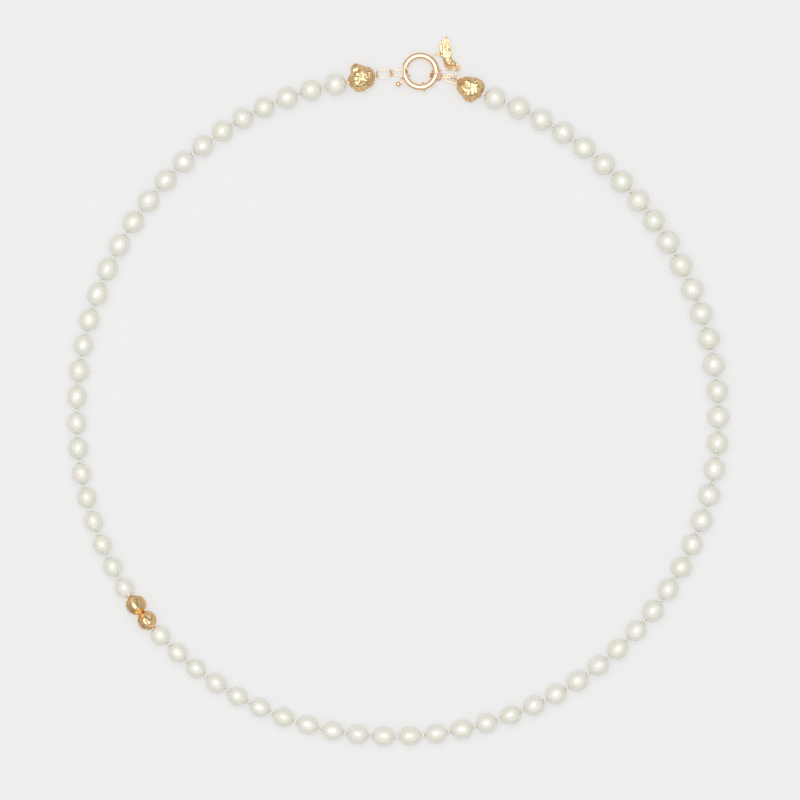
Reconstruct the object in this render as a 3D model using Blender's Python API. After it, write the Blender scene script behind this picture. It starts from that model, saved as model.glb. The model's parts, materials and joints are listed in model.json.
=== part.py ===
"""A knotted pearl necklace, laid in a loop on a table, with two gold nugget beads in the strand,
a gold nugget at each end, short chains of oval links, a spring-ring clasp and a small bird charm.

Metres, +Z up. The table is z = 0, the clasp is at +Y, and the origin is under the middle of the
whole necklace. Every pearl rests on the table, so its centre is as high as its own radius.
"""

import math
import random

import bmesh
import bpy
import numpy as np
from mathutils import Matrix, Vector, noise

MM = 0.001

# The loop that the strand is laid in: a circle, a little oval and a little three-cornered
LOOP_CENTRE = (-0.0005, -0.0044)
LOOP_RADIUS = 0.0761
LOOP_OVAL = 0.0009
LOOP_OVAL_AT = math.radians(98)
LOOP_LOBES = 0.0006
LOOP_LOBES_AT = math.radians(-18)
STRAND_START = math.radians(97.95)
STRAND_END = math.radians(360 + 74.9)
DIRECTION_STEP = 0.001

# Pearls and silk
LEFT_PEARLS = 26
RIGHT_PEARLS = 47
BOTTOM_PEARLS = (10, 11, 12)
PEARL_WIDTH = 0.00492
PEARL_WIDTH_SWING = 0.00048
WIDEST_AT = math.radians(50)
PEARL_LENGTH_SPREAD = 0.035
# How long the pearls run along the strand: (pearl number, share of the usual length)
PEARL_LENGTH_DRIFT = (
    (0, 1.0), (4, 0.925), (8, 1.02), (11, 1.09), (16, 1.01), (22, 0.985), (28, 0.955),
    (34, 1.01), (44, 1.0), (53, 1.025), (59, 1.05), (65, 1.01), (72, 1.01),
)
PEARL_WIDTH_SPREAD = 0.025
PEARL_PROFILE = (-1.0, -0.74, -0.28, 0.28, 0.74, 1.0)
PEARL_FULLNESS = 2.2
HOLE_RADIUS = 0.00034
KNOT_SPACE = 0.00088
KNOT_RADIUS = 0.00056
KNOT_LENGTH = 0.00066
SILK_RADIUS = 0.0003
STRAND_SIDES = 8

# The two gold nugget beads in the strand
GOLD_BEAD_LENGTH = 0.0044
GOLD_BEAD_WIDTH = 0.005
GOLD_BEAD_SPACE = 0.00008
GOLD_BEAD_END_SPACE = 0.00014
BEAD_BORE_RADIUS = 0.00042
BEAD_BORE_REACH = 0.004
BEAD_THREAD_EXTRA = 0.00004
BEAD_ROUGHNESS = 0.16

# The gold nugget at each end of the strand: its middle, how its axis turns, and its size
LEFT_NUGGET_AT = Vector((-0.0087, 0.07345, 0.00245))
LEFT_NUGGET_TURN = math.radians(14)
RIGHT_NUGGET_AT = Vector((0.0172, 0.0711, 0.00245))
RIGHT_NUGGET_TURN = math.radians(150.4)
NUGGET_LENGTH = 0.0059
NUGGET_WIDTH = 0.0062
NUGGET_HEIGHT = 0.0054
NUGGET_BORE_RADIUS = 0.00045
EYE_RECESS_RADIUS = 0.00104
EYE_RECESS_DEPTH = 0.0007
BORE_OVERRUN = 0.002
NUGGET_ROUGHNESS = 0.22
THREAD_IN_NUGGET = 0.0014
PIN_START_IN_NUGGET = 0.0022
PIN_STRAIGHT_BEFORE_EYE = 0.0004
EYE_FROM = 0.35
EYE_TO = math.radians(300)
EYE_STEPS = 12
STRAND_HEIGHT_AT_NUGGET = 0.0025

# Wire findings: eyes, oval links, rings
WIRE_RADIUS = 0.00018
WIRE_SIDES = 6
EYE_RADIUS = 0.00068
EYE_REACH = 0.00055
CHAIN_HEIGHT = 0.00132
LINK_WIDTH = 0.0025
UPRIGHT_LINK_WIDTH = 0.0019
FLAT_LINK_WIDTH = 0.0021
INNER_LINK_ROLL = math.radians(-30)
OUTER_LINK_ROLL = math.radians(55)

# The spring-ring clasp, with angles counted round its own middle
CLASP_AT = Vector((0.00523, 0.07506, CHAIN_HEIGHT))
CLASP_RADIUS = 0.00372
TUBE_RADIUS = 0.00078
TUBE_BORE = 0.00055
TUBE_SIDES = 12
MOUTH_AT = math.radians(200.5)
TUBE_END_AT = math.radians(160 + 360)
SLOT_WIDTH = 0.0007
SLOT_FROM = math.radians(205.2)
SLOT_TO = math.radians(252)
BOLT_RADIUS = 0.00043
BOLT_FROM = math.radians(157.5)
BOLT_TO = math.radians(223)
STEM_AT = math.radians(210)
STEM_RADIUS = 0.00019
STEM_HOLE_RADIUS = 0.00028
THUMB_BALL_RADIUS = 0.00066
THUMB_BALL_REACH = 0.00606
COLLAR_RADIUS = 0.00122
COLLAR_THICKNESS = 0.0004
COLLAR_FIT = 0.00003
TOP_COLLAR_AT = math.radians(1.5)
STOP_COLLAR_AT = math.radians(-78)
SPRING_TO = math.radians(292)
SPRING_COIL_RADIUS = 0.00034
SPRING_WIRE_RADIUS = 0.00006
SPRING_TURNS = 11

# The connector round the clasp's tube, and the right-hand chain and charm ring
CONNECTOR_AT = math.radians(-17.5)
CONNECTOR_RADIUS = 0.00141
CONNECTOR_SHIFT = 0.0002
CONNECTOR_TILT = math.radians(35)
CONNECTOR_OUT = math.radians(-8)
CHARM_RING_RADIUS = 0.00185
CHARM_RING_AT = Vector((0.01352, 0.07446, 0.00205))
CHARM_RING_TURN = math.radians(80.5)

# The charm, a small cast bird lying flat on the table
CHARM_LOOP_AT = Vector((0.01380, 0.0760, 0.00125))
CHARM_LOOP_RADIUS = 0.00066
CHARM_LOOP_WIRE = 0.00022
CHARM_BODY = [
    (10.3, 79.1, 1.2), (10.9, 78.6, 1.2), (11.8, 77.9, 1.15), (12.8, 77.1, 1.15), (13.4, 76.65, 1.2),
]
CHARM_GIRTH = [0.35, 0.75, 1.05, 0.95, 0.4]
CHARM_WINGS = [
    (10.3, 79.0), (9.75, 80.3), (9.95, 81.7), (11.25, 83.3), (11.9, 81.4), (12.9, 78.4), (12.3, 77.6),
]
CHARM_WINGS_LOW = 0.0007
CHARM_WINGS_HIGH = 0.0017
CHARM_BILL = [(8.25, 78.85, 1.2), (8.9, 79.15, 1.2), (9.6, 79.25, 1.2), (10.6, 78.95, 1.2)]
CHARM_BILL_GIRTH = [0.16, 0.2, 0.22, 0.3]
CHARM_FEET = {"left_foot": 11.55, "right_foot": 12.35}

GOLD = ("gold", (0.83, 0.60, 0.30), 0.22, 1.0)
PEARL = ("pearl", (0.85, 0.83, 0.78), 0.25, 0.0)
SILK = ("silk", (0.90, 0.88, 0.82), 0.80, 0.0)
STEEL = ("spring_steel", (0.60, 0.60, 0.62), 0.35, 1.0)


def material(finish):
    """The material of a finish, made once: its name, colour, roughness and metallic value."""
    name, colour, roughness, metallic = finish
    found = bpy.data.materials.get(name)
    if found:
        return found
    made = bpy.data.materials.new(name)
    made.use_nodes = True
    shader = made.node_tree.nodes["Principled BSDF"]
    shader.inputs["Base Color"].default_value = (*colour, 1)
    shader.inputs["Roughness"].default_value = roughness
    shader.inputs["Metallic"].default_value = metallic
    return made


def solid(name, bm, finish, pivot=(0, 0, 0)):
    """An object of a closed mesh given in world coordinates, with its origin at the pivot."""
    bmesh.ops.recalc_face_normals(bm, faces=bm.faces)
    bmesh.ops.translate(bm, verts=bm.verts, vec=-Vector(pivot))
    mesh = bpy.data.meshes.new(name)
    bm.to_mesh(mesh)
    bm.free()
    mesh.shade_smooth()
    mesh.set_sharp_from_angle(angle=math.radians(50))
    mesh.materials.append(material(finish))
    made = bpy.data.objects.new(name, mesh)
    made.location = pivot
    bpy.context.scene.collection.objects.link(made)
    return made


def boolean(body, tool, operation="DIFFERENCE"):
    """Cuts a tool out of a body, or joins it on, with a live modifier."""
    tool.hide_render = True
    tool.display_type = "WIRE"
    step = body.modifiers.new(operation.title(), "BOOLEAN")
    step.operation = operation
    step.solver = "EXACT"
    step.object = tool


def tube(bm, points, radii, sides, up=(0, 0, 1), closed=False):
    """Adds a tube along points, one radius at each, in a plane whose normal is up."""
    points = [Vector(p) for p in points]
    count, rings = len(points), []
    for i, p in enumerate(points):
        before = points[i - 1] if closed or i else p
        after = points[(i + 1) % count] if closed or i < count - 1 else p
        along = (after - before).normalized()
        side = along.cross(Vector(up)).normalized()
        rise = side.cross(along)
        turns = [math.tau * k / sides for k in range(sides)]
        rings.append([bm.verts.new(p + radii[i] * (side * math.sin(t) - rise * math.cos(t))) for t in turns])
    pairs = list(zip(rings, rings[1:]))
    if closed:
        pairs.append((rings[-1], rings[0]))
    for one, two in pairs:
        for k in range(sides):
            after = (k + 1) % sides
            bm.faces.new((one[k], one[after], two[after], two[k]))
    if not closed:
        bm.faces.new(rings[0])
        bm.faces.new(rings[-1])


def wire_ring(points, up, radius=WIRE_RADIUS, sides=WIRE_SIDES):
    """The mesh of a closed loop of wire."""
    bm = bmesh.new()
    tube(bm, points, [radius] * len(points), sides, up, closed=True)
    return bm


def circle(centre, radius, one, other, count=20, start=0.0, sweep=math.tau):
    """Points round a circle in the plane of two directions."""
    one, other = Vector(one), Vector(other)
    steps = [start + sweep * k / count for k in range(count if sweep == math.tau else count + 1)]
    return [Vector(centre) + radius * (one * math.cos(a) + other * math.sin(a)) for a in steps]


def flat_direction(turn):
    """The level direction at an angle from +X."""
    return Vector((math.cos(turn), math.sin(turn), 0))


# The strand's course


def loop_point(turn):
    """The loop's point at an angle about its centre."""
    radius = LOOP_RADIUS + LOOP_OVAL * math.cos(2 * (turn - LOOP_OVAL_AT))
    radius += LOOP_LOBES * math.cos(3 * (turn - LOOP_LOBES_AT))
    return Vector((*LOOP_CENTRE, 0)) + radius * flat_direction(turn)


class Course:
    """The loop measured by its own length, from the left nugget round to the right one."""

    def __init__(self):
        self.turns = np.linspace(STRAND_START, STRAND_END, 1441)
        self.points = np.array([loop_point(t) for t in self.turns])
        steps = np.linalg.norm(np.diff(self.points, axis=0), axis=1)
        self.lengths = np.concatenate([[0], np.cumsum(steps)])
        self.length = float(self.lengths[-1])

    def turn(self, run):
        return float(np.interp(run, self.lengths, self.turns))

    def point(self, run):
        return loop_point(self.turn(run))

    def along(self, run):
        return (self.point(run + DIRECTION_STEP) - self.point(run - DIRECTION_STEP)).normalized()


class Bead:
    """A pearl or gold bead on the strand: its middle, its direction, its length and its radius."""

    def __init__(self, course, run, length, radius):
        self.length, self.radius, self.turn = length, radius, course.turn(run)
        self.middle = course.point(run) + Vector((0, 0, radius))
        self.along = course.along(run)

    def end(self, side):
        """The middle of the hole at one end: -1 is the near end, 1 the far end."""
        return self.middle + self.along * (side * self.length / 2)


def lay_strand():
    """(left pearls, gold beads, right pearls), placed one after another along the loop."""
    course, chance = Course(), random.Random(11)
    pearls = LEFT_PEARLS + RIGHT_PEARLS
    drift = np.interp(range(pearls), *zip(*PEARL_LENGTH_DRIFT))
    shares = [share + PEARL_LENGTH_SPREAD * chance.uniform(-1, 1) for share in drift.tolist()]
    widths = [1 + PEARL_WIDTH_SPREAD * chance.uniform(-1, 1) for _ in range(pearls)]
    taken = 2 * GOLD_BEAD_LENGTH + GOLD_BEAD_SPACE + 2 * GOLD_BEAD_END_SPACE + pearls * KNOT_SPACE
    unit = (course.length - taken) / sum(shares)
    beads, run = [], KNOT_SPACE
    for i, (share, width) in enumerate(zip(shares, widths)):
        if i == LEFT_PEARLS:
            run += GOLD_BEAD_END_SPACE - KNOT_SPACE
            for space in (GOLD_BEAD_SPACE, GOLD_BEAD_END_SPACE):
                middle = run + GOLD_BEAD_LENGTH / 2
                beads.append(Bead(course, middle, GOLD_BEAD_LENGTH, GOLD_BEAD_WIDTH / 2))
                run += GOLD_BEAD_LENGTH + space
        length = unit * share
        swing = PEARL_WIDTH_SWING * math.cos(course.turn(run) - WIDEST_AT)
        beads.append(Bead(course, run + length / 2, length, (PEARL_WIDTH + swing) * width / 2))
        run += length + KNOT_SPACE
    return beads[:LEFT_PEARLS], beads[LEFT_PEARLS : LEFT_PEARLS + 2], beads[LEFT_PEARLS + 2 :]


def pearl_stations(pearl):
    """Points and radii along one pearl, drawn in at its drill holes."""
    points, radii = [], []
    for share in PEARL_PROFILE:
        points.append(pearl.middle + pearl.along * (share * pearl.length / 2))
        radii.append(max(HOLE_RADIUS, pearl.radius * (1 - abs(share) ** PEARL_FULLNESS) ** 0.5))
    return points, radii


def pearl_run(name, pearls, last_knot, pivot):
    """A few pearls joined by the knots between them, with a knot at the far end if it has one."""
    points, radii = [], []
    for i, pearl in enumerate(pearls):
        more_points, more_radii = pearl_stations(pearl)
        points += more_points
        radii += more_radii
        if i < len(pearls) - 1:
            points.append((pearl.end(1) + pearls[i + 1].end(-1)) / 2)
            radii.append(KNOT_RADIUS)
    if last_knot:
        end, along = pearls[-1].end(1), pearls[-1].along
        points += [end + along * (KNOT_LENGTH / 2), end + along * KNOT_LENGTH]
        radii += [KNOT_RADIUS, SILK_RADIUS]
    bm = bmesh.new()
    tube(bm, points, radii, STRAND_SIDES)
    solid(name, bm, PEARL, pivot)


def bend_before(bead):
    """Where the strand bends before a bead: in the gap between its hole and the last knot."""
    return bead.end(-1) - bead.along * ((KNOT_SPACE - KNOT_LENGTH) / 2)


def bend_after(bead):
    """Where the strand bends after a bead that has no knot behind it."""
    return bead.end(1) + bead.along * ((KNOT_SPACE - KNOT_LENGTH) / 2)


def strand_sections(left, gold, right):
    """(name, pearls, whether a knot closes it) for each run of pearls, in order along the strand."""
    first, last = BOTTOM_PEARLS[0], BOTTOM_PEARLS[-1] + 1
    runs = [left[i : i + 2] for i in range(0, LEFT_PEARLS, 2)]
    sections = [(f"pearls_left_{n:02}", run, run is not runs[-1]) for n, run in enumerate(runs, 1)]
    runs = [right[i : i + 2] for i in range(0, first, 2)] + [right[first:last]]
    runs += [right[i : i + 2] for i in range(last, RIGHT_PEARLS, 2)]
    sections += [(f"pearls_right_{n:02}", run, run is not runs[-1]) for n, run in enumerate(runs, 1)]
    return sections


# Gold nuggets


def lump(centre, along, size, seed, roughness):
    """A closed lump like melted gold: an ellipsoid with shallow dents, its long axis along."""
    bm = bmesh.new()
    bmesh.ops.create_icosphere(bm, subdivisions=3, radius=1)
    for v in bm.verts:
        v.co *= 1 + roughness * noise.noise(v.co * 1.7 + Vector((seed, 0, 0)))
    reach = [max(abs(v.co[axis]) for v in bm.verts) for axis in range(3)]
    side = Vector((0, 0, 1)).cross(along).normalized()
    frame = Matrix((along, side, along.cross(side))).transposed()
    for v in bm.verts:
        scaled = Vector([v.co[axis] / reach[axis] * size[axis] / 2 for axis in range(3)])
        v.co = Vector(centre) + frame @ scaled
    return bm


def rod(name, start, end, radius, sides=12):
    """A straight cylinder between two points, made to cut with."""
    bm = bmesh.new()
    side = (Vector(end) - Vector(start)).cross(Vector((0, 0, 1)))
    up = side.cross(Vector(end) - Vector(start)) if side.length > 1e-9 else Vector((1, 0, 0))
    tube(bm, [start, end], [radius, radius], sides, up)
    return solid(name, bm, STEEL)


def eye_middle(at, turn):
    """The middle of the eye at a nugget's chain end."""
    out = at + flat_direction(turn) * (NUGGET_LENGTH / 2 + EYE_REACH)
    return Vector((out.x, out.y, CHAIN_HEIGHT))


def end_nugget(name, at, turn, hole, eye, pivot, seed):
    """A nugget resting on a small flat, bored from the strand's hole to a recess for the eye."""
    bm = lump(at, flat_direction(turn), (NUGGET_LENGTH, NUGGET_WIDTH, NUGGET_HEIGHT), seed, NUGGET_ROUGHNESS)
    below = dict(plane_co=(0, 0, 0), plane_no=(0, 0, 1), clear_inner=True)
    cut = bmesh.ops.bisect_plane(bm, geom=bm.verts[:] + bm.edges[:] + bm.faces[:], **below)
    rim = [e for e in cut["geom_cut"] if isinstance(e, bmesh.types.BMEdge)]
    bmesh.ops.contextual_create(bm, geom=rim)
    nugget = solid(name, bm, GOLD, pivot)
    lean = (eye - hole).normalized()
    past = lean * BORE_OVERRUN
    boolean(nugget, rod(name + "_bore", hole - past, eye + past, NUGGET_BORE_RADIUS))
    mouth = eye - lean * (EYE_RADIUS + EYE_RECESS_DEPTH / 2)
    boolean(nugget, rod(name + "_recess", mouth, eye + past, EYE_RECESS_RADIUS))


def eye_pin(name, hole, eye, pivot):
    """A wire that runs into the nugget's bore and curls into an upright eye for the chain."""
    lean = (eye - hole).normalized()
    side = lean.cross(Vector((0, 0, 1))).normalized()
    rise = side.cross(lean)
    points = [hole + lean * PIN_START_IN_NUGGET, eye - lean * (EYE_RADIUS + PIN_STRAIGHT_BEFORE_EYE)]
    points += circle(eye, EYE_RADIUS, -lean, -rise, EYE_STEPS, EYE_FROM, EYE_TO)
    bm = bmesh.new()
    tube(bm, points, [WIRE_RADIUS * 0.9] * len(points), WIRE_SIDES, side)
    solid(name, bm, GOLD, pivot)


def thread_end(name, hole, knot_end, into, pivot):
    """The strand's last knot, with its thread running into the nugget's bore."""
    out = (knot_end - hole).normalized()
    points = [hole + into * THREAD_IN_NUGGET, hole, hole + out * (KNOT_LENGTH / 2), hole + out * KNOT_LENGTH]
    bm = bmesh.new()
    tube(bm, points, [SILK_RADIUS, SILK_RADIUS, KNOT_RADIUS, SILK_RADIUS], STRAND_SIDES)
    solid(name, bm, SILK, pivot)


def strand_close(side_name, at, turn, pearl, side, seed):
    """One end of the strand: the nugget, the eye pin in it and the thread that ends in it."""
    hole = pearl.end(side) + pearl.along * (side * KNOT_SPACE)
    hole.z = STRAND_HEIGHT_AT_NUGGET
    pivot = bend_before(pearl) if side < 0 else bend_after(pearl)
    eye = eye_middle(at, turn)
    end_nugget(side_name + "_nugget", at, turn, hole, eye, pivot, seed)
    eye_pin(side_name + "_eye_pin", hole, eye, pivot)
    thread_end(side_name + "_thread_end", hole, pearl.end(side), (eye - hole).normalized(), pivot)


def gold_bead(name, bead, seed):
    """A nugget bead that turns on the strand's thread."""
    size = (bead.length, 2 * bead.radius, 2 * bead.radius)
    made = solid(name, lump(bead.middle, bead.along, size, seed, BEAD_ROUGHNESS), GOLD, bead.middle)
    reach = bead.along * BEAD_BORE_REACH
    boolean(made, rod(name + "_bore", bead.middle - reach, bead.middle + reach, BEAD_BORE_RADIUS, 8))


def bead_thread(gold, pivot):
    """The silk through the two gold beads, a little longer than they are."""
    points = [gold[0].end(-1) - gold[0].along * BEAD_THREAD_EXTRA, gold[0].middle]
    points += [(gold[0].end(1) + gold[1].end(-1)) / 2, gold[1].middle]
    points.append(gold[1].end(1) + gold[1].along * BEAD_THREAD_EXTRA)
    bm = bmesh.new()
    tube(bm, points, [SILK_RADIUS * 0.9] * len(points), STRAND_SIDES)
    solid("bead_thread", bm, SILK, pivot)


# Links


def oval_link(name, start, end, roll, width, pivot):
    """A closed oval link between the middles of its two end wires, rolled about its long axis."""
    along = (Vector(end) - Vector(start)).normalized()
    side = Matrix.Rotation(roll, 3, along) @ Vector((0, 0, 1)).cross(along).normalized()
    bend = width / 2 - WIRE_RADIUS
    one, two = Vector(start) + along * bend, Vector(end) - along * bend
    points = circle(two, bend, side, along, 8, 0, math.pi)
    points += circle(one, bend, -side, -along, 8, 0, math.pi)
    points = [p for i, p in enumerate(points) if (p - points[i - 1]).length > 1e-5]
    bm = wire_ring(points, along.cross(side))
    solid(name, bm, GOLD, pivot)


# The clasp. Its pieces are made about the clasp's own middle and hang from an empty there


def clasp_point(turn, radius=CLASP_RADIUS, height=0.0):
    return flat_direction(turn) * radius + Vector((0, 0, height))


def clasp_arc(start, stop, steps):
    return [clasp_point(start + (stop - start) * k / steps) for k in range(steps + 1)]


def clasp_arc_solid(name, start, stop, steps, radius, sides, finish):
    """A round bar that follows the clasp's circle."""
    bm = bmesh.new()
    tube(bm, clasp_arc(start, stop, steps), [radius] * (steps + 1), sides)
    return solid(name, bm, finish)


def clasp_tube():
    """The ring's hollow tube, open at the gate, with the slot that the thumb ball's stem runs in."""
    made = clasp_arc_solid("clasp_tube", MOUTH_AT, TUBE_END_AT, 34, TUBE_RADIUS, TUBE_SIDES, GOLD)
    past = math.radians(4)
    bore = clasp_arc_solid("tube_bore", MOUTH_AT - past, TUBE_END_AT + past, 34, TUBE_BORE, 8, STEEL)
    boolean(made, bore)
    bm = bmesh.new()
    inner, outer = CLASP_RADIUS + TUBE_BORE * 0.4, CLASP_RADIUS + TUBE_RADIUS * 2
    corners = []
    for k in range(9):
        turn = SLOT_FROM + (SLOT_TO - SLOT_FROM) * k / 8
        ring = [(inner, -1), (outer, -1), (outer, 1), (inner, 1)]
        corners.append([bm.verts.new(clasp_point(turn, r, z * SLOT_WIDTH / 2)) for r, z in ring])
    for one, two in zip(corners, corners[1:]):
        for k in range(4):
            bm.faces.new((one[k], one[(k + 1) % 4], two[(k + 1) % 4], two[k]))
    bm.faces.new(corners[0])
    bm.faces.new(corners[-1])
    boolean(made, solid("tube_slot", bm, STEEL))
    return made


def collar(name, turn):
    """A thin flange soldered round the tube."""
    along = flat_direction(turn + math.pi / 2)
    middle = clasp_point(turn)
    half = along * (COLLAR_THICKNESS / 2)
    out, up = flat_direction(turn), Vector((0, 0, 1))
    inner, outer = TUBE_RADIUS + COLLAR_FIT, COLLAR_RADIUS
    bm = bmesh.new()
    rings = []
    for radius, shift in ((inner, -half), (outer, -half), (outer, half), (inner, half)):
        rings.append([bm.verts.new(p) for p in circle(middle + shift, radius, out, up, TUBE_SIDES)])
    for one, two in zip(rings, rings[1:] + rings[:1]):
        for k in range(TUBE_SIDES):
            after = (k + 1) % TUBE_SIDES
            bm.faces.new((one[k], one[after], two[after], two[k]))
    return solid(name, bm, GOLD)


def bolt():
    """The sliding bolt that closes the gate, drilled for the thumb ball's stem."""
    made = clasp_arc_solid("clasp_bolt", BOLT_FROM, BOLT_TO, 10, BOLT_RADIUS, 8, GOLD)
    ends = clasp_point(STEM_AT, CLASP_RADIUS - 0.0001), clasp_point(STEM_AT, CLASP_RADIUS + 0.001)
    boolean(made, rod("stem_hole", *ends, STEM_HOLE_RADIUS, 8))
    return made


def thumb_ball():
    """The ball that the thumb pulls, turned in one piece with its stem."""
    foot, steps = CLASP_RADIUS - 0.00005, 6
    stem_end = THUMB_BALL_REACH - THUMB_BALL_RADIUS * 0.92
    points, radii = [foot, stem_end], [STEM_RADIUS, STEM_RADIUS * 1.2]
    for k in range(1, steps):
        angle = math.pi * (0.12 + 0.85 * k / steps)
        points.append(THUMB_BALL_REACH - THUMB_BALL_RADIUS * math.cos(angle))
        radii.append(THUMB_BALL_RADIUS * math.sin(angle))
    bm = bmesh.new()
    tube(bm, [clasp_point(STEM_AT, p) for p in points], radii, 10)
    return solid("clasp_thumb_ball", bm, GOLD)


def clasp_spring():
    """The coil behind the bolt, wound along the tube."""
    count = SPRING_TURNS * 8
    start, points = BOLT_TO + math.radians(2), []
    for k in range(count + 1):
        turn = start + (SPRING_TO - start) * k / count
        angle = math.tau * k / 8
        lift = SPRING_COIL_RADIUS * math.sin(angle)
        points.append(clasp_point(turn, CLASP_RADIUS + SPRING_COIL_RADIUS * math.cos(angle), lift))
    bm = bmesh.new()
    tube(bm, points, [SPRING_WIRE_RADIUS] * len(points), 4)
    return solid("clasp_spring", bm, STEEL)


def connector():
    """The ring that joins the chain to the clasp: it leans round the tube so as to clear the table."""
    out, along = flat_direction(CONNECTOR_OUT), flat_direction(CONNECTOR_OUT + math.pi / 2)
    up = Vector((0, 0, 1)) * math.cos(CONNECTOR_TILT) + along * math.sin(CONNECTOR_TILT)
    middle = CLASP_AT + clasp_point(CONNECTOR_AT) + out * CONNECTOR_SHIFT
    points = circle(middle, CONNECTOR_RADIUS, out, up, 20)
    solid("clasp_connector", wire_ring(points, out.cross(up)), GOLD, chain_points()["right_inner_link"][0])


def clasp():
    """The clasp's pieces, under an empty on the clasp's axis."""
    axis = bpy.data.objects.new("clasp_axis", None)
    bpy.context.scene.collection.objects.link(axis)
    pieces = [clasp_tube(), collar("clasp_mouth_collar", MOUTH_AT), collar("clasp_top_collar", TOP_COLLAR_AT)]
    pieces += [collar("clasp_stop_collar", STOP_COLLAR_AT), bolt(), thumb_ball(), clasp_spring()]
    for piece in pieces:
        piece.parent = axis
        for step in piece.modifiers:
            step.object.parent = axis
    axis.location = CLASP_AT


# The charm


def charm_ring():
    """The upright jump ring that carries the charm on the chain's last link."""
    out, up = flat_direction(CHARM_RING_TURN), Vector((0, 0, 1))
    points = circle(CHARM_RING_AT, CHARM_RING_RADIUS, out, up, 24)
    solid("charm_ring", wire_ring(points, out.cross(up)), GOLD, CHARM_RING_AT)


def plate(name, outline, low, high):
    """A flat piece cut to an outline in millimetres, between two heights."""
    bm = bmesh.new()
    base = bm.faces.new([bm.verts.new((x * MM, y * MM, low)) for x, y in outline])
    raised = bmesh.ops.extrude_face_region(bm, geom=[base])["geom"]
    top = [v for v in raised if isinstance(v, bmesh.types.BMVert)]
    bmesh.ops.translate(bm, verts=top, vec=(0, 0, high - low))
    return solid(name, bm, GOLD)


def bar(name, points, radii, sides=8, pivot=(0, 0, 0)):
    """A bar of changing thickness through a few points, in millimetres."""
    bm = bmesh.new()
    tube(bm, [Vector(p) * MM for p in points], [r * MM for r in radii], sides)
    return solid(name, bm, GOLD, pivot)


def charm():
    """The cast bird: a plump body with its tail at the loop, a raised pair of wings and a long bill."""
    made = bar("charm", CHARM_BODY, CHARM_GIRTH, 10, CHARM_LOOP_AT)
    parts = [plate("wings", CHARM_WINGS, CHARM_WINGS_LOW, CHARM_WINGS_HIGH)]
    parts.append(bar("bill", CHARM_BILL, CHARM_BILL_GIRTH, 6))
    for name, x in CHARM_FEET.items():
        leg = [(x + 0.3, 76.9, 0.9), (x, 75.9, 0.7), (x - 0.1, 75.2, 0.7)]
        parts.append(bar(name, leg, (0.3, 0.42, 0.2), 8))
    loop = circle(CHARM_LOOP_AT, CHARM_LOOP_RADIUS, (1, 0, 0), (0, 1, 0), 16)
    parts.append(solid("loop", wire_ring(loop, (0, 0, 1), CHARM_LOOP_WIRE), GOLD))
    for part in parts:
        boolean(made, part, "UNION")


def chain_points():
    """The middles of the end wires of the four links, by name."""
    z = CHAIN_HEIGHT
    return {
        "left_inner_link": (Vector((-0.00515, 0.07434, z)), Vector((-0.00143, 0.07470, z))),
        "left_outer_link": (Vector((-0.00187, 0.07470, z)), Vector((0.00222, 0.07495, z))),
        "right_inner_link": (Vector((0.00984, 0.07379, z)), Vector((0.01288, 0.07343, z))),
        "right_outer_link": (Vector((0.01125, 0.07385, z)), Vector((0.01428, 0.07285, z))),
    }


def main():
    for old in list(bpy.data.objects):
        bpy.data.objects.remove(old)
    left, gold, right = lay_strand()
    sections = strand_sections(left, gold, right)
    for i, (name, pearls, knot) in enumerate(sections):
        if right[BOTTOM_PEARLS[0]] in pearls:
            pivot = pearls[1].middle
        elif pearls[0].turn < right[BOTTOM_PEARLS[0]].turn:
            pivot = bend_before(gold[0] if pearls[-1] is left[-1] else sections[i + 1][1][0])
        else:
            pivot = bend_before(pearls[0])
        pearl_run(name, pearls, knot, pivot)
    bead_thread(gold, bend_before(right[0]))
    gold_bead("gold_bead_upper", gold[0], 3.1)
    gold_bead("gold_bead_lower", gold[1], 8.4)
    places = chain_points()
    strand_close("left", LEFT_NUGGET_AT, LEFT_NUGGET_TURN, left[0], -1, 5.2)
    strand_close("right", RIGHT_NUGGET_AT, RIGHT_NUGGET_TURN, right[-1], 1, 12.7)
    start, end = places["left_inner_link"]
    oval_link("left_inner_link", start, end, INNER_LINK_ROLL, LINK_WIDTH, start)
    bend = (end + places["left_outer_link"][0]) / 2
    oval_link("left_outer_link", *places["left_outer_link"], OUTER_LINK_ROLL, LINK_WIDTH, bend)
    bend = (places["right_inner_link"][1] + places["right_outer_link"][0]) / 2
    oval_link("right_inner_link", *places["right_inner_link"], math.pi / 2, UPRIGHT_LINK_WIDTH, bend)
    start, end = places["right_outer_link"]
    oval_link("right_outer_link", start, end, 0.0, FLAT_LINK_WIDTH, end)
    connector()
    clasp()
    charm_ring()
    charm()


main()
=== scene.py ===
# %% [markdown]
# # A knotted pearl necklace with gold nuggets
# The necklace is a closed loop of pearls on silk. A knot sits between every two pearls, two cast gold
# beads break the run at the lower left, and a gold nugget ends each side. Short oval links and a
# spring-ring clasp close it, and a small cast bird hangs beside the clasp. We load the measured frame
# first, because the pieces below take their places and sizes from it.

# %% Load the frame
import json
import math

import bmesh
import bpy
import numpy as np
from mathutils import Matrix, Vector, noise

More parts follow.
